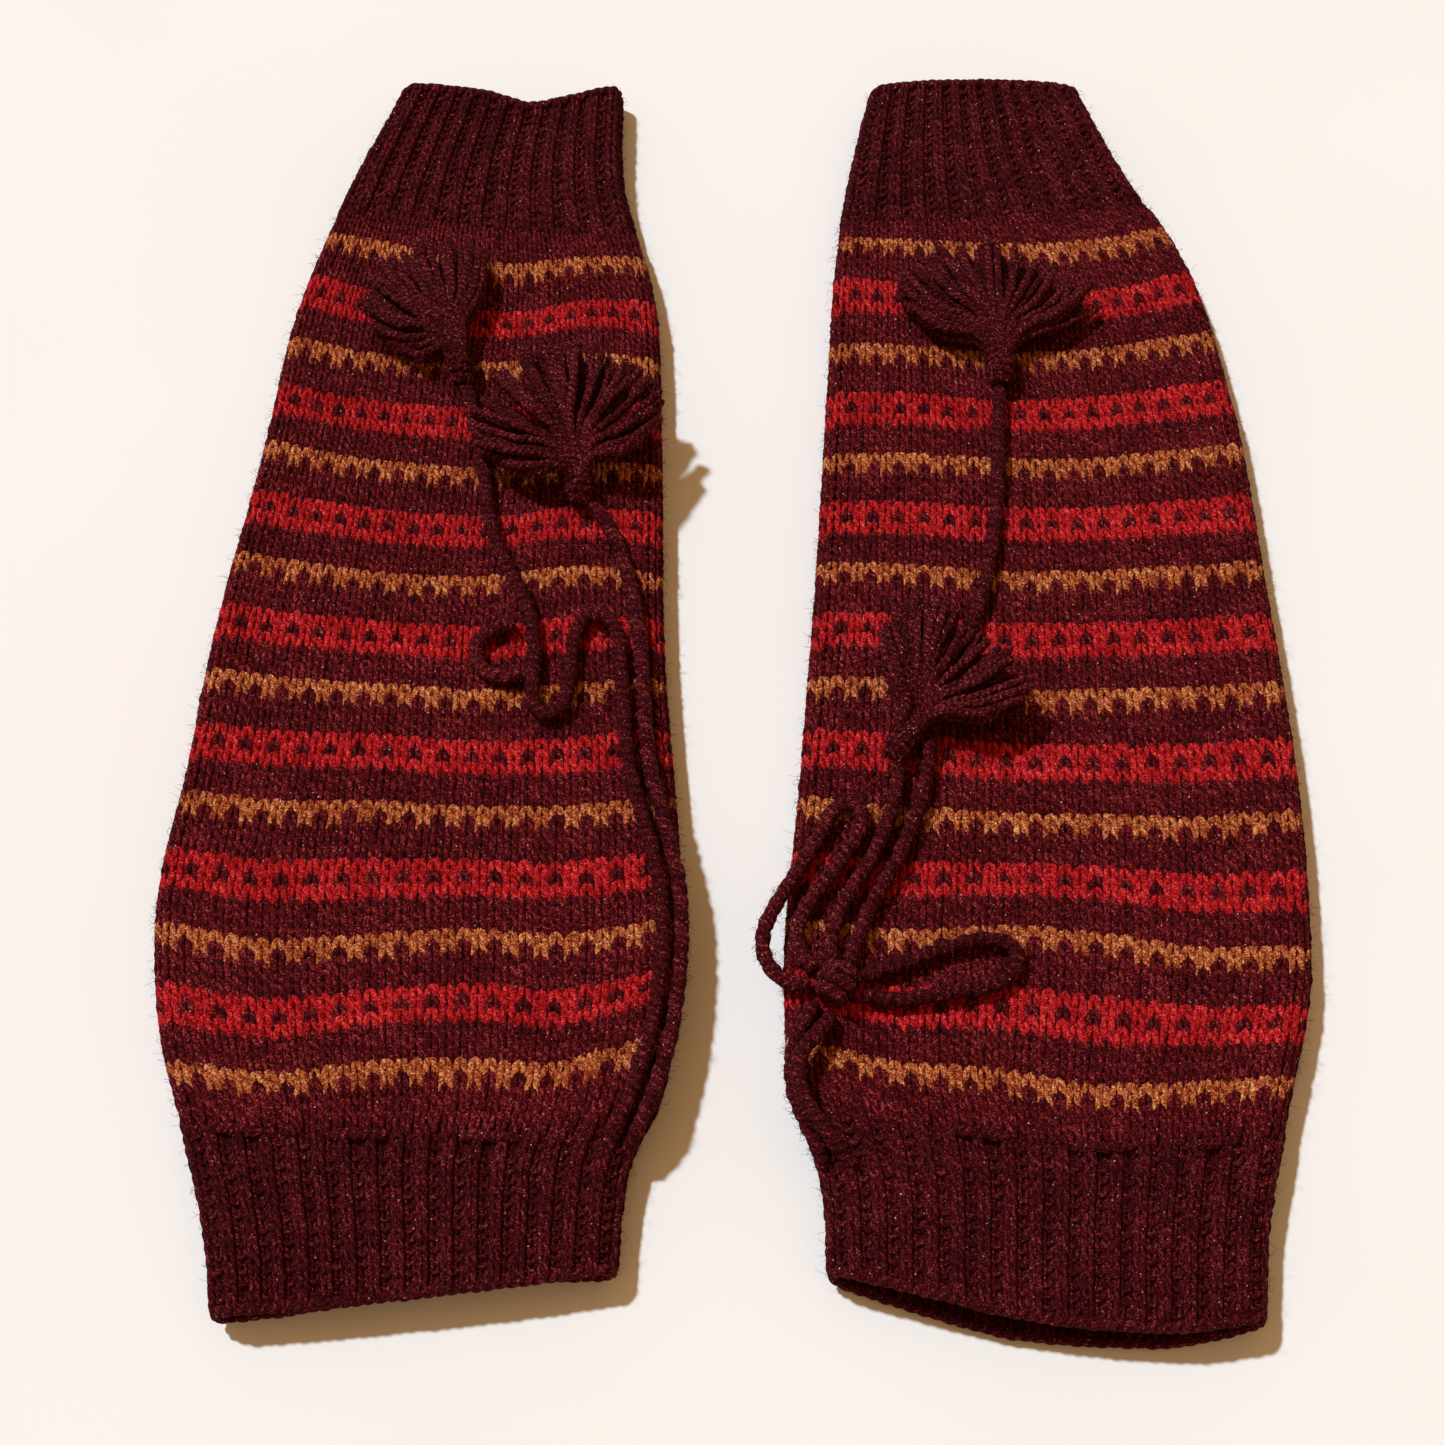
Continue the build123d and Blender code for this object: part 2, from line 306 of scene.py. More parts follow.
def bump(tree, height, depth, bsdf):
    """Relief of the surface: height is a factor, and depth is what 1 stands for, in metres."""
    node = tree.nodes.new("ShaderNodeBump")
    node.inputs["Distance"].default_value = depth
    tree.links.new(height, node.inputs["Height"])
    tree.links.new(node.outputs[0], bsdf.inputs["Normal"])


def yarn_material(name, dark, mid, bright, tip, pitch=3.1, glint_share=0.34, groove=0.45):
    """Plied acrylic yarn with a few glittering fibres, whose glints are painted into its colour as bright
    specks. pitch is the length of one turn of the plies.
    """
    mat, tree, bsdf = nodes_of(name)
    new, wire = tree.nodes.new, tree.links.new

    def math_node(op, a, b=None, clamp=False):
        n = new("ShaderNodeMath")
        n.operation, n.use_clamp = op, clamp
        for socket, value in zip(n.inputs, (a, b)):
            if isinstance(value, (int, float)):
                socket.default_value = value
            elif value is not None:
                wire(value, socket)
        return n.outputs[0]

    attribute = new("ShaderNodeAttribute")
    attribute.attribute_name = "yarn"
    split = new("ShaderNodeSeparateXYZ")
    wire(attribute.outputs["Vector"], split.inputs[0])
    turn, run, shade = split.outputs

    # the plies wind round the yarn, and the hollow between them is given painted shade: darker in colour,
    # with the crests lighter
    wound = math_node("ADD", math_node("MULTIPLY", turn, PLIES),
                      math_node("MULTIPLY", run, 2 * math.pi / pitch))
    ply = math_node("MULTIPLY", math_node("ADD", math_node("SINE", wound), 1.0), 0.5)

    fibre = noise(tree, 1900, 2.0, 0.7)
    patch = noise(tree, 60, 3.0, 0.6)
    # ply puts the painted shade of the ply grooves into the tone; the other terms vary it at random
    tone = math_node("ADD", math_node("MULTIPLY", fibre, 2.6), math_node("MULTIPLY", ply, 0.26))
    tone = math_node("ADD", tone, math_node("MULTIPLY", patch, 0.25))
    tone = math_node("ADD", tone, math_node("MULTIPLY", shade, 0.20))
    colour = ramp(tree, math_node("SUBTRACT", tone, 1.18, clamp=True),
                  (0.10, dark), (0.48, mid), (0.78, bright), (1.0, tip))

    # painted highlight: glints of single glittering fibres, painted into the colour as bright specks, some
    # brighter than others
    cells = new("ShaderNodeTexVoronoi")
    wire(new("ShaderNodeTexCoord").outputs["Object"], cells.inputs["Vector"])
    cells.inputs["Scale"].default_value = 720
    near = math_node("LESS_THAN", cells.outputs["Distance"], 0.14)
    pick = new("ShaderNodeSeparateColor")
    wire(cells.outputs["Color"], pick.inputs[0])
    glint = math_node("MULTIPLY", near, math_node("LESS_THAN", pick.outputs[0], glint_share))
    glint = math_node("MULTIPLY", glint, math_node("POWER", pick.outputs[1], 2.5))
    mix = new("ShaderNodeMix")
    mix.data_type = "RGBA"
    wire(glint, mix.inputs["Factor"])
    wire(colour, mix.inputs["A"])
    # colour of the painted glints
    mix.inputs["B"].default_value = (0.95, 0.54, 0.38, 1)
    wire(mix.outputs["Result"], bsdf.inputs["Base Color"])

    rough = math_node("ADD", math_node("MULTIPLY", fibre, 0.22), 0.70)
    wire(math_node("SUBTRACT", rough, math_node("MULTIPLY", glint, 0.35)), bsdf.inputs["Roughness"])
    height = math_node("ADD", math_node("MULTIPLY", math_node("POWER", ply, 0.6), groove),
                       math_node("MULTIPLY", fibre, 1.8))
    bump(tree, height, 0.0006, bsdf)
    return mat


# each yarn's shadow, body, lit and tip colours
burgundy = yarn_material(
    "burgundy_yarn", (0.017, 0.0005, 0.0012), (0.087, 0.0033, 0.0053), (0.21, 0.011, 0.015),
    (0.52, 0.075, 0.072))
rib_yarn = yarn_material(
    "rib_yarn", (0.015, 0.0005, 0.0011), (0.063, 0.0026, 0.0044), (0.145, 0.009, 0.013),
    (0.38, 0.060, 0.060))
red = yarn_material(
    "red_yarn", (0.13, 0.0022, 0.0034), (0.49, 0.0092, 0.0125), (0.78, 0.024, 0.028),
    (0.95, 0.13, 0.11), glint_share=0.12)
caramel = yarn_material(
    "caramel_yarn", (0.15, 0.0140, 0.0045), (0.44, 0.084, 0.022), (0.80, 0.25, 0.078),
    (1.0, 0.56, 0.24), glint_share=0.05)
cord_yarn = yarn_material(
    "cord_yarn", (0.014, 0.0005, 0.0011), (0.064, 0.0027, 0.0045), (0.15, 0.010, 0.014),
    (0.46, 0.080, 0.076), pitch=3.4, groove=0.25)
tassel_yarn = yarn_material(
    "tassel_yarn", (0.013, 0.0004, 0.0010), (0.066, 0.0028, 0.0046), (0.16, 0.011, 0.015),
    (0.50, 0.088, 0.084), pitch=2.8, groove=0.25)


def painted_shade_material():
    """Painted shade for the hollows between stitches: a near-black to dark burgundy colour, darker than the
    yarn.
    """
    mat, tree, bsdf = nodes_of("burgundy_painted_shade")
    grain = noise(tree, 700)
    # painted shade: near-black to dark burgundy, darker than the yarn
    tree.links.new(ramp(tree, grain, (0, (0.008, 0.0006, 0.0010)), (1, (0.070, 0.0036, 0.0052))),
                   bsdf.inputs["Base Color"])
    bump(tree, grain, 0.0005, bsdf)
    rough = tree.nodes.new("ShaderNodeMapRange")
    rough.inputs["To Min"].default_value = 0.8
    tree.links.new(grain, rough.inputs[0])
    tree.links.new(rough.outputs[0], bsdf.inputs["Roughness"])
    return mat


hollows = painted_shade_material()

# ---------------------------------------------------------------- knitting

COLUMN_WIDE = 4.05     # a column of stitches where the yarn is at its full thickness

# Half a loop of yarn, from the middle of its head to where it joins the next loop: share of a
# column, share of a row towards the knee, and lift in mm.
KNIT = [(0, 1.16, -0.80), (0.20, 1.08, -0.60), (0.335, 0.80, -0.05), (0.315, 0.24, 0.42),
        (0.205, -0.42, 0.46), (0.20, -0.88, -0.30), (0.5, -1.10, -0.85)]
RIB_KNIT = [(0, 1.12, -0.55), (0.17, 1.05, -0.30), (0.295, 0.76, 0.25), (0.275, 0.20, 0.85),
            (0.165, -0.42, 0.83), (0.20, -0.88, 0.0), (0.5, -1.02, -0.62)]
RIB_PURL = [(0, 0.94, 0.02), (0.26, 0.86, -0.04), (0.41, 0.50, -0.55), (0.35, 0.02, -0.85),
            (0.26, -0.44, -0.75), (0.34, -0.86, -0.28), (0.5, -1.02, -0.62)]


def full_loop(half, points):
    """The whole loop as a smooth line of evenly spaced points."""
    half = np.array(half, float)
    whole = np.concatenate([half[::-1] * (-1, 1, 1), half[1:]])
    u = np.linspace(0, 1, len(whole))
    fine = bend(u, whole, np.linspace(0, 1, 200))
    gone = np.concatenate([[0], np.cumsum(np.linalg.norm(np.diff(fine * (4, 3, 1), axis=0), axis=1))])
    return np.stack([np.interp(np.linspace(0, gone[-1], points), gone, fine[:, i]) for i in range(3)], -1)


def loops(fabric, columns, rows, half, across=ACROSS, fineness=FINE, wide=1.04, thick=0.80):
    """Tubes for the stitches at these columns and rows, each a little different."""
    points, sides = fineness
    shape = full_loop(half, points)
    count = len(columns)
    fade = np.cos(math.pi * shape[:, 0]) ** 2
    wobble = rng.normal(0, 1, (count, 4))
    s = (columns[:, None] + 0.5 + shape[None, :, 0] * (1 + 0.07 * wobble[:, 3:4] * fade)
         + 0.035 * wobble[:, 0:1] * fade)
    r = rows[:, None] + 0.5 + shape[None, :, 1] + 0.06 * wobble[:, 1:2] * fade
    r = np.clip(r, -0.1, ROWS + 0.1)
    lift = shape[None, :, 2] + 0.10 * wobble[:, 2:3] * fade
    paths, normals = fabric.place(s, r, lift, across)
    shade = rng.uniform(0, 1, count)
    fat = (1 + 0.06 * rng.normal(0, 1, count))[:, None]
    column_wide = np.linalg.norm(paths[:, -1] - paths[:, 0], axis=-1)[:, None]
    fit = np.clip(column_wide / COLUMN_WIDE, 0.62, 1.06)
    lumps = 1 + 0.11 * rng.normal(0, 1, (count, points))
    return tubes(paths, normals, wide * fat * fit * lumps, thick * fat * lumps, sides, shade)


FUZZ_REACH = 2.0       # the longest hairs of the knitting, and of the cords
CORD_HAIR_REACH = 2.2


def hairs(roots, outward, reach, thin=0.05):
    """Loose fibres that stand off the yarn and curl, never below the table."""
    count = len(roots)
    lean, curl = (unit(rng.normal(0, 1, (count, 3))) for _ in range(2))
    u = np.linspace(0, 1, 5)[None, :, None]
    length = reach * rng.uniform(0.35, 1, (count, 1, 1)) ** 1.5
    way = unit(outward + 0.9 * lean)[:, None]
    paths = roots[:, None] + length * (way * u + curl[:, None] * (0.30 * np.sin(3.3 * u) - 0.25 * u * u))
    paths[..., 2] = np.maximum(paths[..., 2], 0.2)
    slim = thin * np.array([1, 1, 0.9, 0.75, 0.5])
    return tubes(paths, np.broadcast_to(curl[:, None], paths.shape), slim, slim, 3, rng.uniform(0, 1, count))


def fuzz(fabric, columns, rows, across=ACROSS):
    """About one hair at a random place on each of these stitches, and more and longer ones at the folds."""
    q = (columns % (2 * across)) / across
    fold = (np.minimum(np.abs(q - np.round(q)), 1) * across < 2.6)
    many = rng.poisson(np.where(fold, 3.0, 1.0))
    s = np.repeat(columns, many) + rng.uniform(0, 1, many.sum())
    r = np.clip(np.repeat(rows, many) + rng.uniform(0, 1, many.sum()), 0, ROWS)
    roots, normals = fabric.place(s, r, 0.7, across)
    longer = 1 + 0.6 * np.repeat(fold, many)
    return hairs(roots, normals, FUZZ_REACH * longer[:, None, None])


def colour_of(columns, rows):
    """0 burgundy, 1 red, 2 caramel for every stitch of the leg."""
    in_repeat = (rows - PATTERN_START) % REPEAT
    patterned = (rows >= PATTERN_START) & (rows <= PATTERN_END + 1)
    odd = columns % 2 == 1
    caramel_here = patterned & ((in_repeat == 0) | ((in_repeat == 1) & odd))
    band = (in_repeat == 5) | (in_repeat == 7) | ((in_repeat == 6) & odd)
    red_here = patterned & (rows < PATTERN_END) & band
    return np.where(caramel_here, 2, np.where(red_here, 1, 0))


def halves(across):
    """First and end column, and fineness, of the front with both folds and of the back."""
    return (-2, across + 2, FINE), (across + 2, 2 * across - 2, COARSE)


def grid(first, last, row0, row1):
    """The column and the row of every stitch in this stretch."""
    c, r = np.meshgrid(np.arange(first, last), np.arange(row0, row1), indexing="ij")
    return c.ravel(), r.ravel()


def leg(fabric):
    """The leg's stitches as lists of parts by colour, and the hairs on its burgundy ones."""
    parts, loose = {0: [], 1: [], 2: []}, []
    front, back = halves(ACROSS)
    for (first, last, fineness), row0, row1 in (
            (front, NARROW_ROWS, SPLIT_ROW), (front, SPLIT_ROW, RUN_ROW), (back, NARROW_ROWS, RUN_ROW)):
        c, r = grid(first, last, row0, row1)
        colour = colour_of(c, r)
        for k in parts:
            here = colour == k
            parts[k].append(loops(fabric, c[here], r[here], KNIT, fineness=fineness))
            if fineness == FINE:
                (parts[k] if k else loose).append(fuzz(fabric, c[here], r[here]))
    return parts, loose


def rib(fabric, across, row0, row1, wide, threaded=()):
    """A cuff's parts and hairs. The first row has no stitches at the threaded shares of the front."""
    parts, loose = [], []
    for first, last, fineness in halves(across):
        c, r = grid(first, last, row0, row1)
        share = (c + 0.5) / across
        under_cord = np.zeros(len(c), bool)
        for a, b in threaded:
            under_cord |= (share > a) & (share < b) & (r == row0)
        for shape, which in ((RIB_KNIT, c % 2 == 0), (RIB_PURL, c % 2 == 1)):
            keep = which & ~under_cord
            parts.append(loops(fabric, c[keep], r[keep], shape, across, fineness, wide))
        loose.append(fuzz(fabric, c, r, across))
    return parts, loose


def edges(fabric):
    """A thick plait of yarn round each open end."""
    parts = []
    for row, across in ((0.05, ACROSS_NARROW), (ROWS - 0.05, ACROSS)):
        for strand in (0, 1):
            s = np.linspace(0, 2 * across, 2 * across * 7 + 1)
            turn = math.pi * s + strand * math.pi
            path, normal = fabric.place(s, row + 0.16 * np.cos(turn), -0.10 + 0.42 * np.sin(turn), across)
            path[-1] = path[0]
            fat = 1.18 + 0.10 * np.interp(s, np.arange(2 * across + 1), rng.normal(0, 1, 2 * across + 1))
            parts.append(tubes(path[None], normal[None], fat[None], 0.88 * fat[None], 7, np.array([0.5])))
    return parts


def shade_sheet(fabric):
    """A sheet behind the stitches, which closes the hollows between them and is coloured with their painted
    shade.
    """
    s = np.arange(0, 2 * ACROSS + 1)
    r = np.linspace(0.2, ROWS - 0.2, 124)
    points, _ = fabric.place(*np.meshgrid(s, r, indexing="ij"), -0.50)
    i, j = np.meshgrid(np.arange(2 * ACROSS), np.arange(len(r) - 1), indexing="ij")
    a = i * len(r) + j
    quads = np.stack([a, a + 1, a + len(r) + 1, a + len(r)], -1).reshape(-1, 4)
    return points.reshape(-1, 3), quads, None


def knit(fabric, side):
    """One warmer's knitting as pieces by colour and place, and the sheet of painted shade behind it."""
    made = []

    def piece(name, part, material, slot, *nodes):
        ob = mesh_object(f"{side}_{name}", *part, material)
        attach(ob, f"{side}_warmer")
        if nodes:
            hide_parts(*[f"{side}_{n}" for n in nodes])
        made.append(ob)

    by_colour, loose = leg(fabric)
    upper, lower, back = by_colour[0]
    piece("leg_upper", upper, burgundy, "yarn_patterned", "leg")
    piece("leg_lower", lower, burgundy, "yarn_patterned")
    piece("leg_back", back, burgundy, "yarn_patterned")
    piece("leg_red_bands", joined(by_colour[1]), red, "yarn_red")
    piece("leg_caramel_bands", joined(by_colour[2]), caramel, "yarn_caramel")
    parts, more = rib(fabric, ACROSS_NARROW, 0, NARROW_ROWS, 1.12)
    loose += more
    piece("ankle_rib", joined(parts), rib_yarn, "yarn_burgundy", "ankle_cuff")
    parts, more = rib(fabric, ACROSS, RUN_ROW, ROWS, 1.04, fabric.runs)
    loose += more
    piece("knee_rib", joined(parts), rib_yarn, "yarn_burgundy", "knee_cuff")
    piece("edges", joined(edges(fabric)), rib_yarn, "yarn_burgundy")
    piece("fuzz", joined(loose), burgundy, "yarn_burgundy")
    # the sheet behind the stitches, painted dark as the shade in the hollows
    piece("ground", shade_sheet(fabric), hollows, "yarn_burgundy")
    return made[:-1], made[-1]


# ---------------------------------------------------------------- cords

def route_line(points):
    """Points along the smooth line of a route, in mm."""
    curve = bpy.data.curves.new("route", "CURVE")
    curve.dimensions = "3D"
    line = curve.splines.new("NURBS")
    line.points.add(len(points) - 1)
    for p, (x, y, z) in zip(line.points, points):
        p.co = (x * MM, y * MM, z * MM, 1)
    line.order_u = 3
    line.use_endpoint_u = True
    line.resolution_u = 14
    ob = link(bpy.data.objects.new("route", curve))
    bpy.context.view_layer.update()
    me = bpy.data.meshes.new_from_object(ob.evaluated_get(bpy.context.evaluated_depsgraph_get()))
    found = np.array([v.co for v in me.vertices]) / MM
    bpy.data.objects.remove(ob)
    bpy.data.curves.remove(curve)
    bpy.data.meshes.remove(me)
    return found


def even(path, spacing):
    """The path with evenly spaced points, and how far along it each is."""
    gone = np.concatenate([[0], np.cumsum(np.linalg.norm(np.diff(path, axis=0), axis=1))])
    at = np.linspace(0, gone[-1], max(4, round(gone[-1] / spacing) + 1))
    return np.stack([np.interp(at, gone, path[:, i]) for i in range(3)], -1), at


def twisted(path, diameter=CORD, pitch=10.0, spacing=0.8, sides=8, taper=True, phase=0.0, hairy=6.0):
    """A cord of plies laid round its line. hairy is its number of hairs a millimetre."""
    line, at = even(path, spacing)
    along = unit(np.gradient(line, axis=0))
    up = np.broadcast_to(np.array([0.0, 0.0, 1.0]), line.shape)
    side = unit(np.cross(along, up))
    up = np.cross(side, along)
    radius = diameter / 2 * 0.80
    offset = diameter / 2 - radius
    close = np.ones(len(at))
    if taper:
        close = np.clip(np.minimum(at, at[-1] - at) / 1.2 + 0.45, 0, 1)
    parts = []
    for k in range(PLIES):
        turn = 2 * math.pi * (at / pitch + k / PLIES) + phase
        out = side * np.cos(turn)[:, None] + up * np.sin(turn)[:, None]
        ply = line + out * (offset * close)[:, None]
        fat = (radius * close * (1 + 0.07 * rng.normal(0, 1, len(at))))[None]
        parts.append(tubes(ply[None], out[None], fat, fat, sides, np.array([rng.uniform(0, 1)])))
    pick = rng.integers(0, len(line), int(hairy * at[-1]))
    away = unit(rng.normal(0, 1, (len(pick), 3)))
    away = unit(away - (away * along[pick]).sum(-1, keepdims=True) * along[pick])
    parts.append(hairs(line[pick] + away * diameter * 0.40, away, CORD_HAIR_REACH, 0.06))
    return joined(parts)


# height of a cord's centre where it lies on the fabric, on its rounded edge, and on another cord there
ON_TOP, ON_EDGE, OVER_CORD = 13.5, 12.1, 16.5

# length, what its far end is fixed to, and route of each free stretch
CORDS = {
    "left_cord_1": (291.0, "knot", [
        (-26.5, -139, ON_TOP), (-22, -126, ON_TOP), (-19.2, -111, ON_TOP), (-17.8, -95, ON_TOP),
        (-18.9, -78, ON_TOP), (-23.6, -62, ON_TOP), (-28, -45, ON_TOP), (-29.4, -28, ON_TOP),
        (-30.4, -15, ON_TOP), (-31, -6, ON_TOP), (-34.6, -0.6, ON_TOP), (-40, -0.8, ON_TOP),
        (-43.2, -6.4, ON_TOP), (-43.8, -16, ON_TOP), (-44.3, -25, ON_TOP),
        (-46.8, -30.8, ON_TOP), (-52, -31, ON_TOP), (-54.2, -25.4, ON_TOP),
        (-53.4, -14, ON_TOP), (-54.6, -2, ON_TOP), (-58.6, 8.5, ON_TOP), (-64, 18, ON_TOP),
        (-68, 31, ON_TOP), (-70, 47, ON_TOP), (-72.5, 61, ON_TOP), (-76.2, 74.6, ON_TOP)]),
    "left_cord_2": (180.4, "knot", [
        (-21.5, -140, ON_TOP), (-17, -127, ON_EDGE), (-14.4, -112, ON_EDGE),
        (-13.1, -95, ON_EDGE), (-14, -78, ON_EDGE), (-18.2, -62, ON_TOP), (-22.5, -45, ON_TOP),
        (-24, -26, ON_TOP), (-25.2, -8, ON_TOP), (-27.8, 8, ON_TOP), (-31, 20, ON_TOP),
        (-34.8, 28.8, ON_TOP), (-39.4, 35.4, ON_TOP)]),
    "left_cord_curl": (32.2, "object", [
        (-56.8, -19, ON_TOP), (-62, -20.6, ON_TOP), (-68.5, -17, ON_TOP), (-70, -10, ON_TOP),
        (-65.5, -4.2, ON_TOP), (-59.4, -3.2, ON_TOP)]),
    "right_cord_1": (184.5, "knot", [
        (29.2, -102, ON_TOP), (31.4, -95.5, ON_TOP), (35.2, -86, ON_TOP), (41.2, -75.5, ON_TOP),
        (46, -65.5, ON_TOP), (49.4, -55.5, ON_TOP), (51.6, -45, ON_TOP), (53, -33, ON_TOP),
        (57.6, -20, ON_TOP), (64, -6, ON_TOP), (69.4, 9, ON_TOP), (73, 29, ON_TOP),
        (75, 51, ON_TOP), (76.3, 74.4, ON_TOP)]),
    "right_cord_2": (59.8, "knot", [
        (24.6, -101.3, ON_TOP), (24.4, -94.5, ON_TOP), (27, -87.5, ON_TOP), (31.6, -79.5, ON_TOP),
        (36.6, -71.5, ON_TOP), (40.8, -61, ON_TOP), (43, -53, ON_TOP), (43.8, -45.6, ON_TOP)]),
    "right_bow_loop_1": (120.8, "object", [
        (20.6, -103.8, ON_TOP), (16.6, -99.6, ON_TOP), (15.6, -92.5, ON_TOP), (19.4, -85, ON_TOP),
        (25.6, -76.5, ON_TOP), (31, -69, ON_TOP), (34.2, -62.8, ON_TOP), (32.4, -56.8, ON_TOP),
        (27, -57.4, ON_TOP), (22.6, -66, ON_TOP), (15.6, -78, ON_TOP), (8.8, -89, ON_TOP),
        (6.6, -97, ON_TOP), (9.4, -104.2, ON_TOP), (14, -107.6, ON_TOP), (19.2, -108.2, ON_TOP)]),
    "right_bow_loop_2": (88.4, "object", [
        (32.4, -110.3, ON_TOP), (39, -112, ON_TOP), (48, -111, ON_TOP), (59.6, -109, ON_TOP),
        (68, -107.4, ON_TOP), (72.8, -102.4, ON_TOP), (71, -96.6, ON_TOP), (64.6, -95, ON_TOP),
        (54, -97.5, ON_TOP), (43, -101.8, ON_TOP), (32.4, -105.7, ON_TOP)]),
    "right_cord_lead_1": (36.0, "object", [
        (20.9, -112.6, ON_TOP), (16.4, -119, ON_TOP), (13.8, -128, ON_EDGE), (15, -138, ON_EDGE),
        (18.6, -146, ON_TOP)]),
    "right_cord_lead_2": (42.0, "object", [
        (24.9, -115.8, ON_TOP), (21.4, -120.8, OVER_CORD), (15.4, -127.5, OVER_CORD),
        (16.2, -137.5, OVER_CORD), (22.4, -146.8, 17), (25.6, -150.4, ON_TOP)]),
}


def free_cords():
    """The stretches of cord that lie loose on the fabric."""
    for name, (length, far_end, route) in CORDS.items():
        line = route_line(route)
        ob = mesh_object(name + "_yarn", *twisted(line), cord_yarn)
        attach(ob, name.split("_")[0] + "_warmer")
        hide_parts(name)


# where each end of the free cord goes down through an eyelet at the fold
TAILS = {
    "left": [
        [(-24.6, -134, 13.5), (-26.5, -139, 13.3), (-29, -144.5, 12.2), (-30.6, -148, 9.2),
         (-31, -149.4, 6.4)],
        [(-19.9, -135.2, 13.4), (-21.5, -140, 13.2), (-24, -145, 11.8), (-25.8, -148.4, 9.0),
         (-26.2, -149.8, 6.4)]],
    "right": [
        [(16.6, -141, 13.0), (18.6, -146, 13.2), (20.6, -150, 11.8), (22, -153, 8.8), (22.4, -154, 6.4)],
        [(23.4, -148.2, 15.4), (25.6, -150.4, 13.4), (28, -152.6, 11.6), (29.6, -154.2, 9.0),
         (30, -154.8, 6.4)]],
}


def threaded_run(fabric, side):
    """The part of the drawcord that goes in and out round the top of the wide cuff."""
    s = np.linspace(0, 2 * ACROSS, 900)
    share = s / ACROSS
    over = np.zeros(len(s))     # 1 where the cord is outside the fabric, and 0 where it is inside
    steep = 110
    for a, b in fabric.runs + [(2 - b, 2 - a) for a, b in fabric.runs]:
        out, back_in = 1 / (1 + np.exp(-(share - a) * steep)), 1 + np.exp((share - b) * steep)
        over = np.maximum(over, out / back_in)
    path, normal = fabric.place(s, RUN_ROW + 0.5, -2.6 + 3.4 * over)
    path[-1] = path[0]
    parts = [twisted(path, diameter=3.2, pitch=8, taper=False)]
    for tail in TAILS[side]:
        parts.append(twisted(bend(np.arange(5), tail, np.linspace(0, 4, 40)), diameter=4.0))
    ob = mesh_object(f"{side}_drawcord", *joined(parts), cord_yarn)
    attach(ob, f"{side}_warmer")
    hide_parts(f"{side}_drawcord_run")


def ring(centre, axis, radius, flat=1.0, points=40):
    """A closed turn of yarn round an axis that lies level."""
    axis = unit(np.array([axis[0], axis[1], 0.0]))
    side = np.array([-axis[1], axis[0], 0.0])
    a = np.linspace(0, 2 * math.pi, points)
    return (np.array(centre) + radius * np.cos(a)[:, None] * side
            + radius * flat * np.sin(a)[:, None] * np.array([0, 0, 1.0]))


def bow_knot():
    """Three turns of cord drawn together where the bow is tied."""
    parts = []
    lie = math.radians(68)
    for shift, tilt, radius in ((-3.4, 0.5, 3.2), (0.0, 0.25, 3.9), (3.4, 0.1, 3.3)):
        axis = np.array([math.cos(lie) + tilt * 0.3, math.sin(lie), 0])
        centre = np.array([26.0, -108.0, 15.6]) + unit(axis) * shift
        parts.append(twisted(ring(centre, axis, radius, 0.72), diameter=3.8, pitch=8, taper=False,
                             phase=rng.uniform(0, 6)))
    ob = mesh_object("right_bow_knot_yarn", *joined(parts), cord_yarn)
    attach(ob, "right_warmer")
    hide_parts("right_bow_knot")


# ---------------------------------------------------------------- tassels

# Head, direction of the fan from +Y towards +X, height of the fan's underside, and the fan's tips
# going round from its left side to its right
TASSELS = {
    "left_tassel_1": ((-78, 79), -12, 12.0, [
        (-95, 84.5), (-103, 91), (-106.5, 99), (-106.5, 107), (-103.5, 114.5), (-98, 120), (-92, 122.8),
        (-86, 123.6), (-80.5, 123.6), (-75.5, 122.5), (-72, 117)]),
    "left_tassel_2": ((-43, 38.5), -8, 16.2, [
        (-66, 43), (-71.5, 49), (-73.5, 57), (-72, 66), (-67, 76), (-61, 82.5), (-55, 85.5), (-48, 86.5),
        (-41, 85), (-34, 80.5), (-26, 76), (-21, 68), (-20.5, 60), (-24, 52)]),
    "right_tassel_1": ((76.5, 79), 0, 12.0, [
        (50, 101), (48, 106), (49.5, 111), (54, 116.5), (60, 121), (66, 124), (72, 124.6), (78, 123),
        (84, 119.5), (90, 115.5), (96, 112), (102, 107.5), (106, 101.5)]),
    "right_tassel_2": ((44, -41), 26, 16.2, [
        (41, -16), (41, -8), (43, -2), (46, 0.4), (50, 0.8), (55, 0.2), (60, -3.5), (65, -9), (70, -12),
        (74, -17), (78, -24), (80, -31)]),
}


STRANDS = 69
# layers of strands from below to above: where in the fan each begins, how far it reaches towards the
# tips, its rise over the fan's underside, and its yarn's diameter
LAYERS = ((0, 0.90, 1.3, 2.3), (0.5, 0.97, 3.2, 2.3), (0.25, 1.0, 6.2, 2.6))


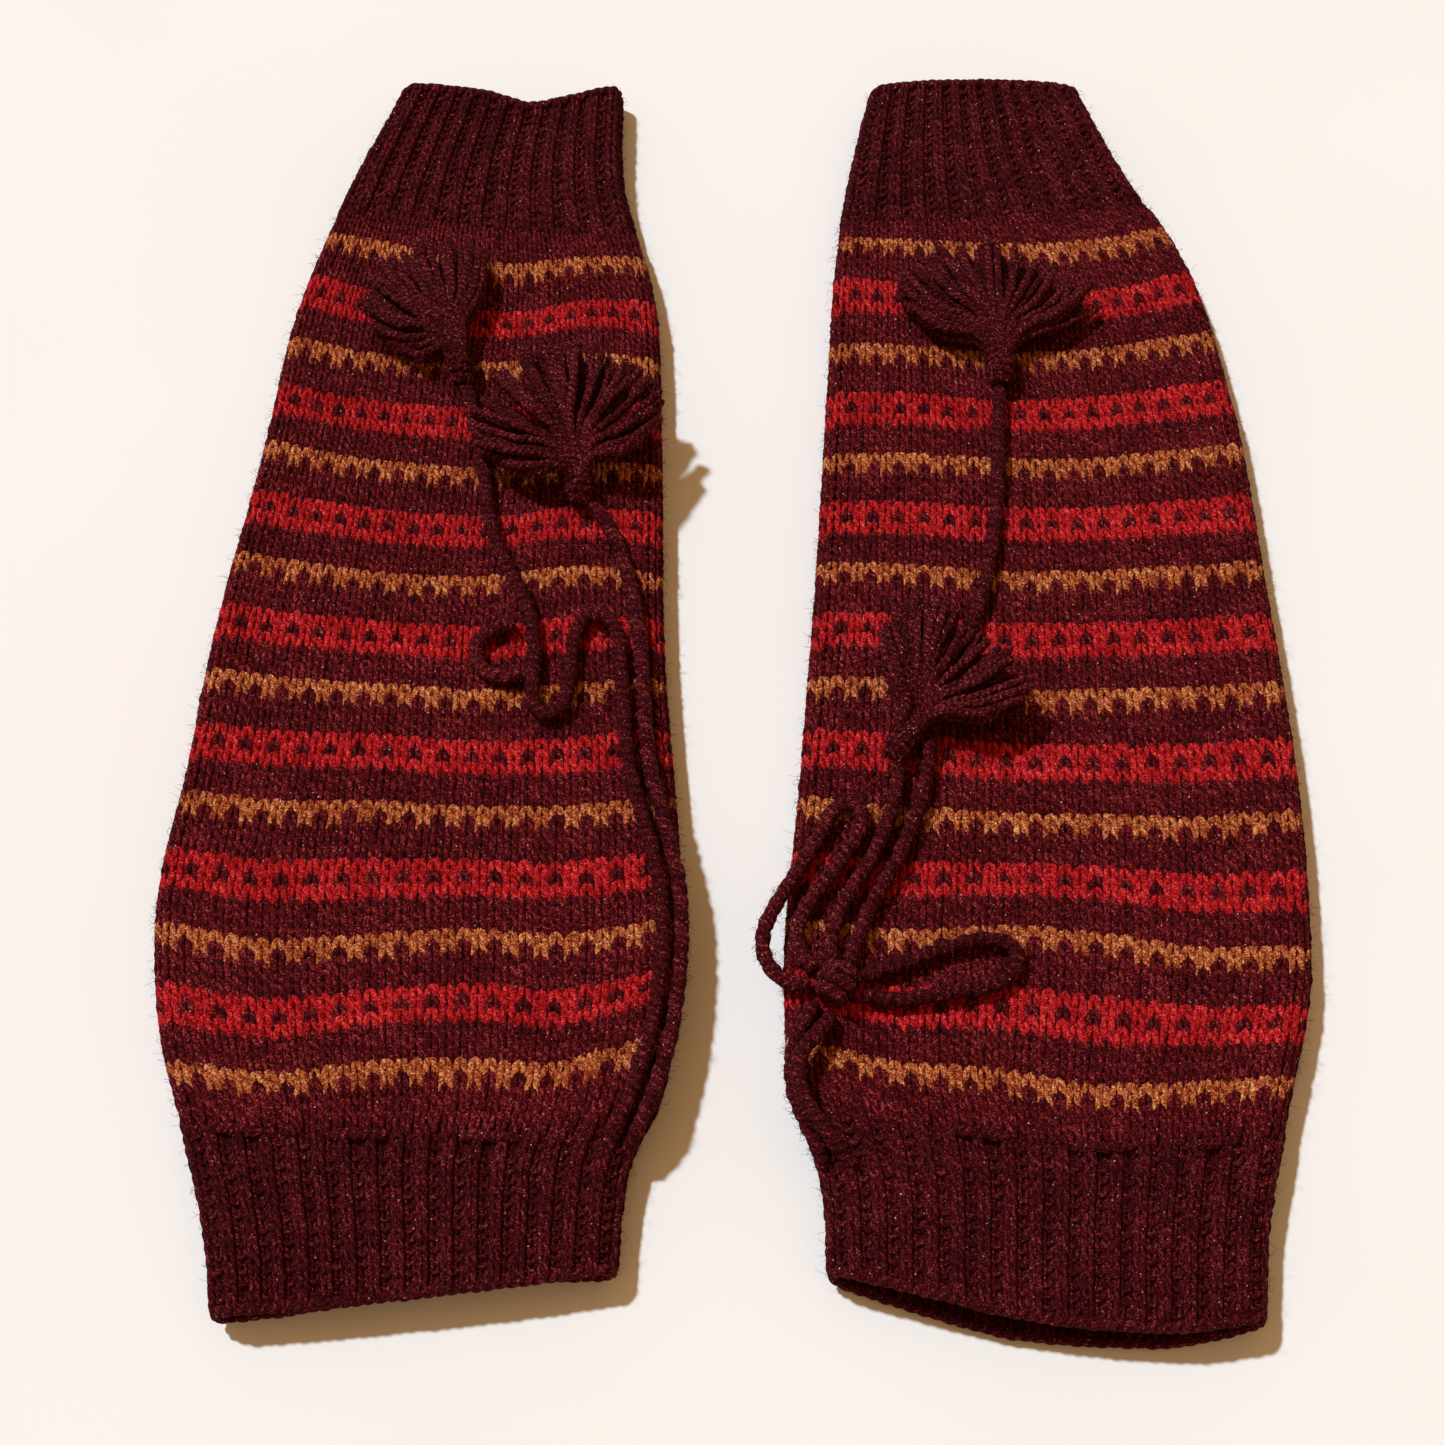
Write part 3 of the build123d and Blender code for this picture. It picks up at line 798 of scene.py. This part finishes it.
def strand(k, head, axis, side, base, tips):
    """One cut length of yarn, from under the tie to its loose end."""
    layer = k % len(LAYERS)
    begins, reach, rise, diameter = LAYERS[layer]
    u = (k // len(LAYERS) + begins) / (STRANDS / len(LAYERS) - 0.5)
    u = min(max(u + rng.normal(0, 0.018), 0), 1)
    tip = np.array([np.interp(u * (len(tips) - 1), np.arange(len(tips)), tips[:, i]) for i in (0, 1)])
    tip = head[:2] + (tip - head[:2]) * min(reach + rng.normal(0, 0.045), 1.02)
    top = base + rise + rng.normal(0, 0.5)
    spread = (u - 0.5) * 2
    out = np.array([*tip, 0.0]) - head
    across = unit(np.array([out[1], -out[0], 0.0]))
    neck = head + axis * 3.5 + side * spread * 2.2
    belly = head + axis * 9 * (1 - abs(spread) * 0.5) + out * 0.22 + across * rng.normal(0, 0.4)
    late = head + out * 0.62 + axis * 2.5 * (1 - abs(spread)) + across * rng.normal(0, 0.9)
    z = np.array([0, 0, top * 0.5 + 9.2, top + 0.6 + rng.normal(0, 0.5), top + rng.normal(-0.8, 1.0)])
    z = np.clip(z, base + 1.7, base + 7.6)
    z[:2] = (15.0 + 0.6 * (layer - 1), 15.8 + 1.0 * (layer - 1))
    line = np.stack([head + side * spread * 1.6, neck, belly, late, np.array([*tip, 0.0])])
    line[:, 2] = z
    line[4, :2] += rng.normal(0, 0.8, 2)
    fine = bend(np.array([0, 0.12, 0.34, 0.66, 1.0]), line, np.linspace(0, 1, 60))
    return twisted(fine, diameter=diameter * rng.uniform(0.9, 1.1), pitch=rng.uniform(8, 12),
                   spacing=1.1, sides=5, phase=rng.uniform(0, 6), hairy=1.6)


def tied(head, axis, side):
    """The turns of yarn round the tassel's neck, and the fold of the strands over the cord behind it."""
    turns = [twisted(ring(head + axis * a + np.array([0, 0, 15.6]), axis + side * lean, size, 0.9),
                     diameter=2.2, pitch=5, spacing=0.8, sides=6, taper=False, phase=rng.uniform(0, 6))
             for a, lean, size in ((-1.2, 0.2, 3.0), (0.7, -0.1, 3.2), (2.5, 0.15, 3.1))]
    for a, size in ((-2.4, 2.6), (-0.8, 1.9)):
        for spread in (-1, -0.5, 0, 0.5, 1):
            arch = np.array([head + side * spread * size + axis * (a + 4.0) + (0, 0, 16.6 - abs(spread)),
                             head + side * spread * size * 0.9 + axis * a + (0, 0, 17.2 - abs(spread)),
                             head + side * spread * size * 0.6 + axis * (a - 1.6) + (0, 0, 15.2),
                             head + side * spread * size * 0.6 + axis * (a - 0.6) + (0, 0, 13.6)])
            turns.append(twisted(bend(np.arange(4), arch, np.linspace(0, 3, 24)), diameter=2.1, pitch=5.5,
                                 spacing=0.9, sides=6, phase=rng.uniform(0, 6)))
    return turns


def tassel(name, head, towards, base, tips):
    """Cut lengths of yarn folded over the cord's end, tied, and fanned out."""
    axis = np.array([math.sin(math.radians(towards)), math.cos(math.radians(towards)), 0])
    side = np.array([axis[1], -axis[0], 0])
    head = np.array([*head, 0.0])
    tips = np.array(tips, float)
    parts = [strand(k, head, axis, side, base, tips) for k in range(STRANDS)]
    fan = mesh_object(name + "_strands", *joined(parts), tassel_yarn)
    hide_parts(name + "_skirt")
    tie = mesh_object(name + "_tie", *joined(tied(head, axis, side)), tassel_yarn)
    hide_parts(name + "_head")
    for ob in (fan, tie):
        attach(ob, name)


# ---------------------------------------------------------------- build

free_cords()
bow_knot()
for name, facts in TASSELS.items():
    tassel(name, *facts)
for side in WARMERS:
    fabric = Fabric(side)
    pieces, ground = knit(fabric, side)
    threaded_run(fabric, side)

# ---------------------------------------------------------------- table, light and camera

def table_top():
    """A plain pale table, in metres."""
    mat, tree, bsdf = nodes_of("pale_table")
    tree.links.new(ramp(tree, noise(tree, 9), (0, (0.86, 0.80, 0.735)), (1, (0.90, 0.845, 0.785))),
                   bsdf.inputs["Base Color"])
    bsdf.inputs["Roughness"].default_value = 0.85
    bsdf.inputs["Specular IOR Level"].default_value = 0.5
    me = bpy.data.meshes.new("table_top")
    me.from_pydata([(-3, -3, 0), (3, -3, 0), (3, 3, 0), (-3, 3, 0)], [], [(0, 1, 2, 3)])
    me.materials.append(mat)
    link(bpy.data.objects.new("table_top", me))


def key_light():
    """A far, soft lamp, up and to the left behind the warmers."""
    light = bpy.data.lights.new("key", "SUN")
    light.angle, light.energy, light.color = math.radians(4.0), 3.80, (0.711, 0.853, 1.0)
    ob = link(bpy.data.objects.new("key", light))
    ob.rotation_euler = Vector((-0.58, 0.50, 1.0)).to_track_quat("Z", "Y").to_euler()


def room():
    """Pale walls low down all round, and warm light from everything above them."""
    world = bpy.data.worlds.new("studio")
    world.use_nodes = True
    new, wire = world.node_tree.nodes.new, world.node_tree.links.new
    direction = new("ShaderNodeSeparateXYZ")
    wire(new("ShaderNodeTexCoord").outputs["Generated"], direction.inputs[0])
    above = new("ShaderNodeMapRange")
    above.interpolation_type = "SMOOTHSTEP"
    above.inputs["From Min"].default_value = 0.24
    above.inputs["From Max"].default_value = 0.38
    wire(direction.outputs["Z"], above.inputs["Value"])
    mix = new("ShaderNodeMix")
    mix.data_type = "RGBA"
    wire(above.outputs[0], mix.inputs["Factor"])
    mix.inputs["A"].default_value = (0.64, 0.58, 0.53, 1)
    mix.inputs["B"].default_value = (0.414, 0.240, 0.095, 1)
    wire(mix.outputs["Result"], world.node_tree.nodes["Background"].inputs["Color"])
    bpy.context.scene.world = world


table_top()
key_light()
room()
bpy.context.scene.view_settings.view_transform = "Standard"

eye = bpy.data.cameras.new("camera")
eye.lens, eye.sensor_width = 61.04, 36
camera = link(bpy.data.objects.new("camera", eye))
camera.location = (-0.0029, -0.3295, 0.5945)
camera.rotation_euler = (math.radians(27), 0, 0)
bpy.context.scene.camera = camera
